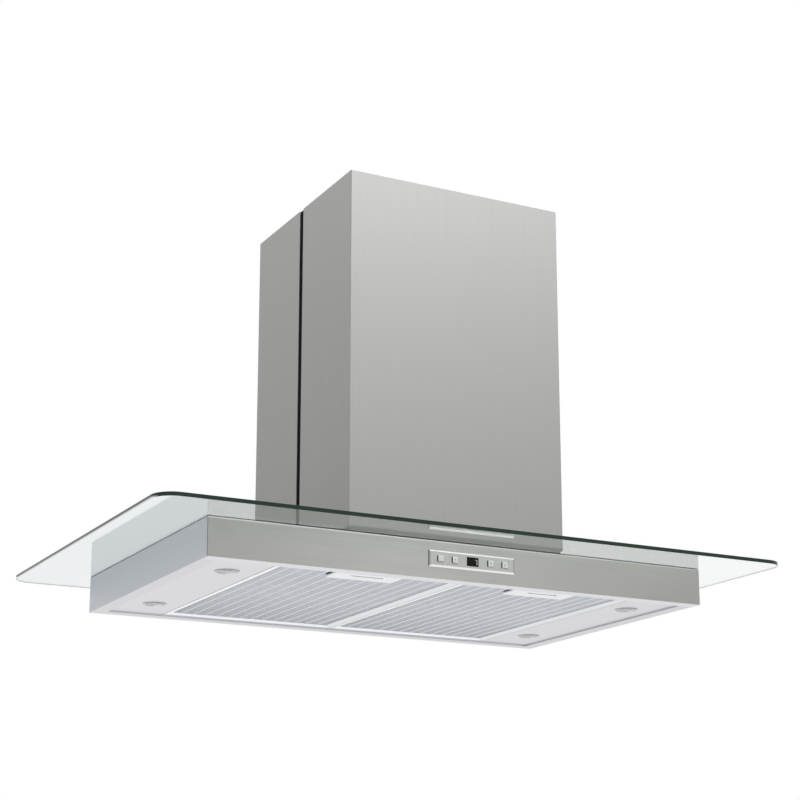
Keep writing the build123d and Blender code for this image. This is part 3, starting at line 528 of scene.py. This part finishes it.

# %% [markdown]
# ## Glass
#
# Clear float glass is nearly colourless through its 5 mm thickness and deep green along its
# edge, because light that enters the edge travels through half a metre of it. Tracing that path
# is slow and noisy, so the polished edge has a dark green shader of its own, mixed in where the
# surface doesn't look up or down. The lower part of the two end walls is painted pale, a painted
# reflection of the light floor. The faces are painted a little greyer towards the left end, as
# shade. Lamps see the plate as a thin tint, so it casts no hard shade.

# %% Clear plate glass with a green edge
finish = Finish("plate_glass")
smears = noise(finish, (14.0, 14.0, 14.0), detail=4.0)
# The faces are painted greyer towards the left end, as shade.
dust = along_axis(finish, "X", 0.1, -0.4)
plate = finish.node(
    "ShaderNodeBsdfPrincipled",
    inputs={
        "Base Color": blended(finish, dust, (0.865, 0.9, 0.89), (0.765, 0.806, 0.806)),
        "Roughness": spread(finish, smears, 0.0, 0.01),
        "IOR": 1.52,
        "Transmission Weight": 1.0,
    },
)
# The lower part of the end walls is painted pale, a painted reflection of the light floor.
upper = along_axis(finish, "Z", -0.4934, -0.4918)
end_wall = turned(finish, "X", 0.85, 0.97) + turned(finish, "X", -0.85, -0.97)
under_edge = turned(finish, "X", 0.62, 0.69) + turned(finish, "X", -0.62, -0.69)
end_wall = end_wall + under_edge * turned(finish, "Z", -0.4, -0.6)
edge_shade = blended(finish, smears, (0.002, 0.014, 0.007), (0.004, 0.022, 0.012))
edge_shade = blended(finish, end_wall * (1 - upper), edge_shade, (0.7, 0.76, 0.75))
edge = finish.node(
    "ShaderNodeBsdfPrincipled", inputs={"Base Color": edge_shade, "Roughness": 0.15, "IOR": 1.4}
)
flat = turned(finish, "Z", 0.8, 0.95) + turned(finish, "Z", -0.8, -0.95)
whole = finish.node("ShaderNodeMixShader", inputs={0: flat, 1: edge, 2: plate})
tint = finish.node("ShaderNodeBsdfTransparent", inputs={"Color": (0.86, 0.9, 0.89, 1.0)})
lamp_ray = finish.node("ShaderNodeLightPath", output="Is Shadow Ray")
passed = finish.node("ShaderNodeMixShader", inputs={0: lamp_ray, 1: whole, 2: tint})
finish.node("ShaderNodeOutputMaterial", inputs={"Surface": passed})
materials["clear_glass"] = finish.owner
materials["lamp_glass"] = moulded("frosted_glass", (0.5, 0.5, 0.505), 0.6, contrast=0.02, **dull)
print("plate glass and frosted glass")

# %% [markdown]
# ## Dressing the CAD nodes
#
# The record names a material slot for every node. Each node's one slot takes the finish of that
# name, so that no surface keeps the plain colour it was imported with. The lamps' rings are of
# the tray's steel, turned rather than rolled, and their walls and lower bevels are painted darker
# as shade, so they take a finish of their own.

# %% Give every CAD node its finish
slot_of_node = {piece["node"]: piece["material_slot"] for piece in frame["record"]["subparts"]}
own_finish = {"lamp_rings": "lamp_steel"}
for name, node in nodes.items():
    node.data.materials.clear()
    node.data.materials.append(materials[own_finish.get(name, slot_of_node[name])])
print("finished", len(nodes), "nodes")

# %% [markdown]
# ## Working by hand, in code
#
# Blender's operators act on whatever is selected, so each piece starts by letting go of
# everything, adds one primitive at its place, and works on that in edit mode. These helpers do
# the selecting. At the end a piece is left with its place in its mesh and its object at the
# origin, as the CAD nodes are.


# %% Selecting, starting and finishing a piece
def deselect_all():
    if bpy.context.object and bpy.context.object.mode != "OBJECT":
        bpy.ops.object.mode_set(mode="OBJECT")
    bpy.ops.object.select_all(action="DESELECT")


def started(name):
    """Names the primitive that was just added and returns its object."""
    piece = bpy.context.object
    piece.name = name
    piece.data.name = name
    return piece


def make_active(piece):
    """Selects one piece and nothing else."""
    deselect_all()
    piece.select_set(True)
    bpy.context.view_layer.objects.active = piece


def apply_modifiers(piece):
    make_active(piece)
    for modifier in list(piece.modifiers):
        bpy.ops.object.modifier_apply(modifier=modifier.name)


def select_only(parts, chosen):
    """Selects those of a piece's vertices or faces for which chosen is true, in edit mode."""
    bpy.ops.object.mode_set(mode="EDIT")
    bpy.ops.mesh.select_all(action="DESELECT")
    bpy.ops.object.mode_set(mode="OBJECT")
    for part in parts:
        part.select = chosen(part)
    bpy.ops.object.mode_set(mode="EDIT")


def joined(name, pieces):
    """Several copies become one piece."""
    deselect_all()
    for piece in pieces:
        piece.select_set(True)
    bpy.context.view_layer.objects.active = pieces[0]
    bpy.ops.object.join()
    return started(name)


def settled(piece, body, finish):
    """Moves the piece's place into its mesh, gives it its finish and hangs it on its body."""
    make_active(piece)
    bpy.ops.object.transform_apply(location=True, rotation=True, scale=True)
    piece.data.materials.clear()
    piece.data.materials.append(finish)
    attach(piece, body)
    print(piece.name, "rides on", body, "with", len(piece.data.polygons), "faces")


# %% [markdown]
# ## The filters' outer mesh
#
# A grease filter is a stack of expanded aluminium sheets: metal slit and pulled open into a
# lattice of diamonds. One diamond ring is modelled by insetting a four-sided face and deleting
# its middle. Two Array modifiers repeat it, merging the edges that neighbours share, and
# Solidify gives the strands their thickness. The pad's pressed ribs run from front to rear and
# stand through the sheet, so the strands are cut away along each of them.

# %% Measure the space inside the filter's frame
pad_low, pad_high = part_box("filter_mesh_left")
window_half_x = 118 * MM
window_front, window_rear = -148.5 * MM, 230.5 * MM
sheet_z = -539.4 * MM
diamond_x, diamond_y = 7.0 * MM, 3.8 * MM
strand_share = 0.17
sheet_thickness = 0.35 * MM
ribs_each_side = 6
rib_pitch = 17.5 * MM
rib_half = 1.0 * MM
print("pad from", [round(part, 4) for part in pad_low], "to", [round(part, 4) for part in pad_high])


# %% Expanded sheet
def diamond(name, centre, size_x, size_y):
    """One diamond-shaped ring, lying flat."""
    deselect_all()
    bpy.ops.mesh.primitive_circle_add(vertices=4, radius=0.5, fill_type="NGON", location=(0, 0, 0))
    piece = started(name)
    bpy.ops.object.mode_set(mode="EDIT")
    bpy.ops.mesh.select_all(action="SELECT")
    bpy.ops.transform.resize(value=(size_x, size_y, 1))
    bpy.ops.mesh.inset(thickness=size_y * strand_share, depth=0)
    bpy.ops.mesh.delete(type="FACE")
    bpy.ops.mesh.select_all(action="SELECT")
    bpy.ops.transform.translate(value=centre)
    bpy.ops.object.mode_set(mode="OBJECT")
    return piece


def cut_away(sheet, low_x, high_x, low_y, high_y):
    """Deletes the strands between two limits on x and y."""

    def is_between(face):
        return low_x < face.center.x < high_x and low_y < face.center.y < high_y

    make_active(sheet)
    select_only(sheet.data.polygons, is_between)
    bpy.ops.mesh.select_mode(type="FACE")
    bpy.ops.mesh.delete(type="FACE")
    # The pieces that follow select by vertex, and edit mode remembers how it was left.
    bpy.ops.mesh.select_mode(type="VERT")
    bpy.ops.object.mode_set(mode="OBJECT")


def cut_along(sheet, low_x, high_x):
    """Cuts the strands on both sides of a rib and takes out what lies between."""
    for cut_x in (low_x, high_x):
        bpy.ops.object.mode_set(mode="EDIT")
        bpy.ops.mesh.select_all(action="SELECT")
        bpy.ops.mesh.bisect(plane_co=(cut_x, 0, 0), plane_no=(1, 0, 0))
    bpy.ops.object.mode_set(mode="OBJECT")
    cut_away(sheet, low_x, high_x, window_front - MM, window_rear + MM)


def open_for_handle(sheet, middle_x):
    """Clears the sheet around the handle's stem, with room to slide, and around its two slits."""
    stem_half, slit_half, slit_offset = 40 * MM, 3 * MM, 47.5 * MM
    stem_front, stem_rear = -146 * MM, -119 * MM
    slit_front, slit_rear = -149 * MM, -124 * MM
    cut_away(sheet, middle_x - stem_half, middle_x + stem_half, stem_front, stem_rear)
    for side in (-1, 1):
        slit_x = middle_x + side * slit_offset
        cut_away(sheet, slit_x - slit_half, slit_x + slit_half, slit_front, slit_rear)


def expanded_sheet(name, middle_x):
    """The whole sheet of one filter, open along the ribs and at the handle."""
    columns = int(2 * window_half_x / diamond_x)
    rows = int((window_rear - window_front) / diamond_y)
    left = middle_x - (columns - 0.5) * diamond_x / 2
    front = (window_front + window_rear) / 2 - (rows - 0.5) * diamond_y / 2
    first = diamond(name, (left, front, sheet_z), diamond_x, diamond_y)
    half_step = (left + diamond_x / 2, front + diamond_y / 2, sheet_z)
    sheet = joined(name, [first, diamond(name + "_step", half_step, diamond_x, diamond_y)])
    for count, offset in ((columns, (diamond_x, 0, 0)), (rows, (0, diamond_y, 0))):
        array = sheet.modifiers.new("repeat", "ARRAY")
        array.count = count
        array.use_relative_offset = False
        array.use_constant_offset = True
        array.constant_offset_displace = offset
        array.use_merge_vertices = True
        array.merge_threshold = diamond_y * 0.05
    apply_modifiers(sheet)
    for step in range(-ribs_each_side, ribs_each_side + 1):
        rib_x = middle_x + step * rib_pitch
        cut_along(sheet, rib_x - rib_half, rib_x + rib_half)
    open_for_handle(sheet, middle_x)
    thick = sheet.modifiers.new("thickness", "SOLIDIFY")
    thick.thickness = sheet_thickness
    thick.offset = 0
    apply_modifiers(sheet)
    return sheet


for side in ("left", "right"):
    low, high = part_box("filter_mesh_" + side)
    sheet = expanded_sheet("filter_sheet_" + side, (low[0] + high[0]) / 2)
    settled(sheet, "filter_" + side, materials["filter_sheet"])

# %% [markdown]
# ## Lamps
#
# Behind each frosted lens sit a spun reflector and a small capsule bulb. The reflector is a
# circle whose edges are extruded and shrunk ring by ring, which gives it the curve of a dish.
# The bulb is a sphere drawn out into a capsule and seated in the reflector's neck. A short
# collar stands from the middle of each lens: a cylinder whose end is inset and pushed back in.

# %% Reflectors and bulbs
lens_low, lens_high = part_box("lamp_lenses")
lamp_places = [(side * 298 * MM, y * MM) for side in (-1, 1) for y in (-93, 166)]
dish_rim_z = lens_high[2] + 0.2 * MM
dish_profile = [(12.3, 0.0), (11.6, 1.2), (9.8, 2.5), (7.2, 3.4), (5.6, 3.7)]
bulb_radius, bulb_stretch, bulb_lift = 2.2 * MM, 3.2 * MM, 2.4 * MM
collar_radius, collar_wall, collar_depth = 5.6 * MM, 1.3 * MM, 1.2 * MM
collar_hollow = collar_depth * 0.4


def dish(name, x, y):
    """A thin bowl, open below. dish_profile gives the radius and height of each of its rings."""
    deselect_all()
    rim_radius = dish_profile[0][0] * MM
    bpy.ops.mesh.primitive_circle_add(vertices=48, radius=rim_radius, location=(0, 0, 0))
    piece = started(name)
    bpy.ops.object.mode_set(mode="EDIT")
    bpy.ops.mesh.select_all(action="SELECT")
    radius, height = dish_profile[0]
    for next_radius, next_height in dish_profile[1:]:
        rise = (0, 0, (next_height - height) * MM)
        bpy.ops.mesh.extrude_region_move(TRANSFORM_OT_translate={"value": rise})
        shrink = next_radius / radius
        bpy.ops.transform.resize(value=(shrink, shrink, 1), center_override=(0, 0, 0))
        radius, height = next_radius, next_height
    bpy.ops.mesh.select_all(action="SELECT")
    bpy.ops.mesh.normals_make_consistent(inside=True)
    bpy.ops.mesh.faces_shade_smooth()
    bpy.ops.object.mode_set(mode="OBJECT")
    wall = piece.modifiers.new("wall", "SOLIDIFY")
    wall.thickness = 0.3 * MM
    apply_modifiers(piece)
    piece.location = (x, y, dish_rim_z)
    return piece


def bulb(name, x, y):
    """A capsule: the upper half of a sphere is drawn away from the lower one."""
    deselect_all()
    bpy.ops.mesh.primitive_uv_sphere_add(
        segments=24, ring_count=12, radius=bulb_radius, location=(0, 0, 0)
    )
    piece = started(name)
    select_only(piece.data.vertices, lambda point: point.co.z > 0.1 * MM)
    bpy.ops.transform.translate(value=(0, 0, bulb_stretch))
    bpy.ops.mesh.select_all(action="SELECT")
    bpy.ops.mesh.faces_shade_smooth()
    bpy.ops.object.mode_set(mode="OBJECT")
    piece.location = (x, y, dish_rim_z + bulb_lift)
    return piece


def lens_collar(name, x, y):
    """A short ring: a cylinder with a hollow in its lower end."""
    deselect_all()
    bpy.ops.mesh.primitive_cylinder_add(
        vertices=48, radius=collar_radius, depth=collar_depth, location=(0, 0, 0)
    )
    piece = started(name)
    select_only(piece.data.vertices, lambda point: point.co.z < 0)
    bpy.ops.mesh.inset(thickness=collar_wall)
    bpy.ops.mesh.extrude_region_move(TRANSFORM_OT_translate={"value": (0, 0, collar_hollow)})
    bpy.ops.object.mode_set(mode="OBJECT")
    piece.location = (x, y, lens_low[2] - collar_hollow)
    return piece


reflectors = joined("lamp_reflectors", [dish("dish", *place) for place in lamp_places])
settled(reflectors, "hood", materials["frame_aluminium"])
bulbs = joined("lamp_bulbs", [bulb("bulb", *place) for place in lamp_places])
settled(bulbs, "hood", materials["white_plastic"])
collars = joined("lens_collars", [lens_collar("lens_collar", *place) for place in lamp_places])
settled(collars, "hood", materials["collar_ring"])

# %% [markdown]
# ## The button panel
#
# The display shows one seven-segment digit at its right. A segment is a cube squeezed into a
# short bar with its edges bevelled, and the digit is made of those that are lit. Each button
# carries a small raised sign: less, more, a timer's clock and a lamp.

# %% Display digit
window_low, window_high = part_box("display_window")
window_x = (window_low[0] + window_high[0]) / 2
window_z = (window_low[2] + window_high[2]) / 2
digit_x, digit_z = window_x + 5.3 * MM, window_z - 0.4 * MM
digit_width, digit_height = 2.2 * MM, 6.0 * MM
sign_depth = 0.12 * MM


def bar(name, x, z, length, width, front, upright=False):
    """A slim raised bar on an upright face, with bevelled edges."""
    deselect_all()
    bpy.ops.mesh.primitive_cube_add(size=1, location=(0, 0, 0))
    piece = started(name)
    piece.scale = (width, sign_depth, length) if upright else (length, sign_depth, width)
    bpy.ops.object.transform_apply(location=False, rotation=False, scale=True)
    edges = piece.modifiers.new("edges", "BEVEL")
    edges.width = min(width * 0.3, sign_depth * 0.4)
    edges.segments = 1
    edges.affect = "EDGES"
    edges.limit_method = "NONE"
    apply_modifiers(piece)
    piece.location = (x, front, z)
    return piece


def seven_segments(name, x, z, width, height, lit, front):
    """A digit of bars: top, upper right, lower right, bottom, lower left, upper left, middle."""
    half_w, half_h, stroke = width / 2, height / 2, width * 0.17
    spots = [
        (0, half_h, False),
        (half_w, half_h / 2, True),
        (half_w, -half_h / 2, True),
        (0, -half_h, False),
        (-half_w, -half_h / 2, True),
        (-half_w, half_h / 2, True),
        (0, 0, False),
    ]
    bars = []
    for number in lit:
        offset_x, offset_z, upright = spots[number]
        length = (half_h if upright else width) * 0.84
        bars.append(bar(name, x + offset_x, z + offset_z, length, stroke, front, upright))
    return joined(name, bars)


finish = Finish("lit_segments")
glow = noise(finish, (900.0, 900.0, 900.0))
lit_material = surface(
    finish,
    Base_Color=blended(finish, glow, (0.62, 0.66, 0.64), (0.8, 0.83, 0.8)),
    Roughness=0.4,
    Emission_Color=(0.8, 0.85, 0.82, 1.0),
    Emission_Strength=0.6,
)
lit = (0, 1, 2)
digit = seven_segments(
    "display_digit", digit_x, digit_z, digit_width, digit_height, lit, window_low[1]
)
settled(digit, "hood", lit_material)

# %% Button signs
ink = moulded("sign_ink", (0.09, 0.09, 0.09), 0.5, contrast=0.2)
stroke, long_bar, short_bar = 0.5 * MM, 2.6 * MM, 1.2 * MM


def ring(name, x, z, radius, front):
    """A flattened ring on an upright face."""
    deselect_all()
    bpy.ops.mesh.primitive_torus_add(
        major_radius=radius,
        minor_radius=0.22 * MM,
        major_segments=32,
        minor_segments=8,
        location=(0, 0, 0),
    )
    piece = started(name)
    bpy.ops.object.mode_set(mode="EDIT")
    bpy.ops.mesh.select_all(action="SELECT")
    bpy.ops.transform.resize(value=(1, 1, 0.5))
    bpy.ops.mesh.faces_shade_smooth()
    bpy.ops.object.mode_set(mode="OBJECT")
    piece.rotation_euler = (math.pi / 2, 0, 0)
    piece.location = (x, front, z)
    return piece


def less(name, x, z, front):
    return bar(name, x, z, long_bar, stroke, front)


def more(name, x, z, front):
    across = bar(name, x, z, long_bar, stroke, front)
    return joined(name, [across, bar(name, x, z, long_bar, stroke, front, upright=True)])


def clock(name, x, z, front):
    hand = bar(name, x, z + 0.6 * MM, short_bar, stroke, front, upright=True)
    return joined(name, [ring(name, x, z, 1.5 * MM, front), hand])


def lamp_sign(name, x, z, front):
    base = bar(name, x, z - 1.9 * MM, short_bar, stroke, front)
    return joined(name, [ring(name, x, z + 0.2 * MM, 1.3 * MM, front), base])


for number, sign in enumerate((less, more, clock, lamp_sign), start=1):
    low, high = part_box(f"button_{number}")
    middle_x, middle_z = (low[0] + high[0]) / 2, (low[2] + high[2]) / 2
    mark = sign(f"button_sign_{number}", middle_x, middle_z, low[1])
    settled(mark, f"button_{number}", ink)

# %% [markdown]
# ## The studio
#
# The hood hangs in the air, so the floor lies well below it and only catches a wide, soft
# shadow. The floor is wide enough that its far edge lies on the horizon in every view. The
# world is plain white wherever the camera, a reflection or the glass looks at it, and a little
# darker as a source of soft light. The metal sees a white floor too, while the camera still
# sees its shadow. Three area lamps shape the metal.

# %% Floor
deselect_all()
floor_z = -2.1
floor_width = 400
bpy.ops.mesh.primitive_plane_add(size=1, location=(0, 0, floor_z))
floor = started("studio_floor")
floor.scale = (floor_width, floor_width, 1)
finish = Finish("studio_floor")
mottle = blended(finish, noise(finish, (0.6, 0.6, 0.6)), (0.9, 0.9, 0.9), (0.93, 0.93, 0.93))
paper = finish.node("ShaderNodeBsdfPrincipled", inputs={"Base Color": mottle, "Roughness": 0.8})
bright = finish.node("ShaderNodeEmission", inputs={"Color": (1, 1, 1, 1), "Strength": 1.0})
mirrored = finish.node("ShaderNodeLightPath", output="Is Glossy Ray")
shown = finish.node("ShaderNodeMixShader", inputs={0: mirrored, 1: paper, 2: bright})
finish.node("ShaderNodeOutputMaterial", inputs={"Surface": shown})
floor.data.materials.append(finish.owner)
floor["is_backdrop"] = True
print("floor at", floor_z, "m")

# %% World
ambient = 0.62
bpy.context.scene.world = bpy.data.worlds.new("studio")
sky = Finish("studio", bpy.context.scene.world)
looked_at = 0.0
for ray in ("Is Camera Ray", "Is Glossy Ray", "Is Transmission Ray"):
    looked_at = sky.node("ShaderNodeLightPath", output=ray) + looked_at
white = sky.node("ShaderNodeMath", {"operation": "MINIMUM"}, {0: looked_at, 1: 1.0})
strength = white * (1 - ambient) + ambient
background = sky.node(
    "ShaderNodeBackground", inputs={"Color": (1, 1, 1, 1), "Strength": strength}
)
sky.node("ShaderNodeOutputWorld", inputs={"Surface": background})
print("world lights at", ambient, "and looks white")


# %% Area lamps
def softbox(name, place, target, size, power):
    """A square, white area lamp at place that faces target."""
    deselect_all()
    bpy.ops.object.light_add(type="AREA", location=place)
    lamp = bpy.context.object
    lamp.name = name
    lamp.data.shape = "SQUARE"
    lamp.data.size = size
    lamp.data.energy = power
    aim = Vector(target) - Vector(place)
    lamp.rotation_euler = aim.to_track_quat("-Z", "Y").to_euler()
    print(name, "at", place, "with", power, "W")


hood_middle = (0, 0.04, -0.35)
softbox("key_softbox", (1.05, -2.0, 2.5), hood_middle, size=2.4, power=95)
softbox("rear_softbox", (-1.05, 2.0, 2.5), hood_middle, size=2.2, power=22)
softbox("floor_bounce", (-0.5, 0.1, floor_z + 0.1), hood_middle, size=2.2, power=6)

# %% [markdown]
# ## The camera
#
# The camera stands below the canopy, in front and to the left, and looks up at it. A little
# upward shift of the lens keeps the chimney's edges closer to upright.

# %% Camera
deselect_all()
camera_place = (-1.1411, -2.1749, -0.9812)
yaw, pitch = math.radians(27.53), math.radians(13.97)
sensor = 36.0
focal_length = 82.503
bpy.ops.object.camera_add(location=camera_place)
camera = bpy.context.object
camera.name = "camera"
camera.data.sensor_width = sensor
camera.data.lens = focal_length
camera.data.shift_y = 0.10
camera.rotation_euler = (math.pi / 2 + pitch, 0, -yaw)
camera.data.clip_start, camera.data.clip_end = 0.05, 100
bpy.context.scene.camera = camera
bpy.context.scene.view_settings.view_transform = "Standard"
print("lens", round(camera.data.lens, 1), "mm")

# %% [markdown]
# ## The dressed hood's box
#
# The dressed hood should be no larger than the CAD model, so the box of everything it shows is
# measured.

# %% Measure the dressed hood's box
low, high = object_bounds()
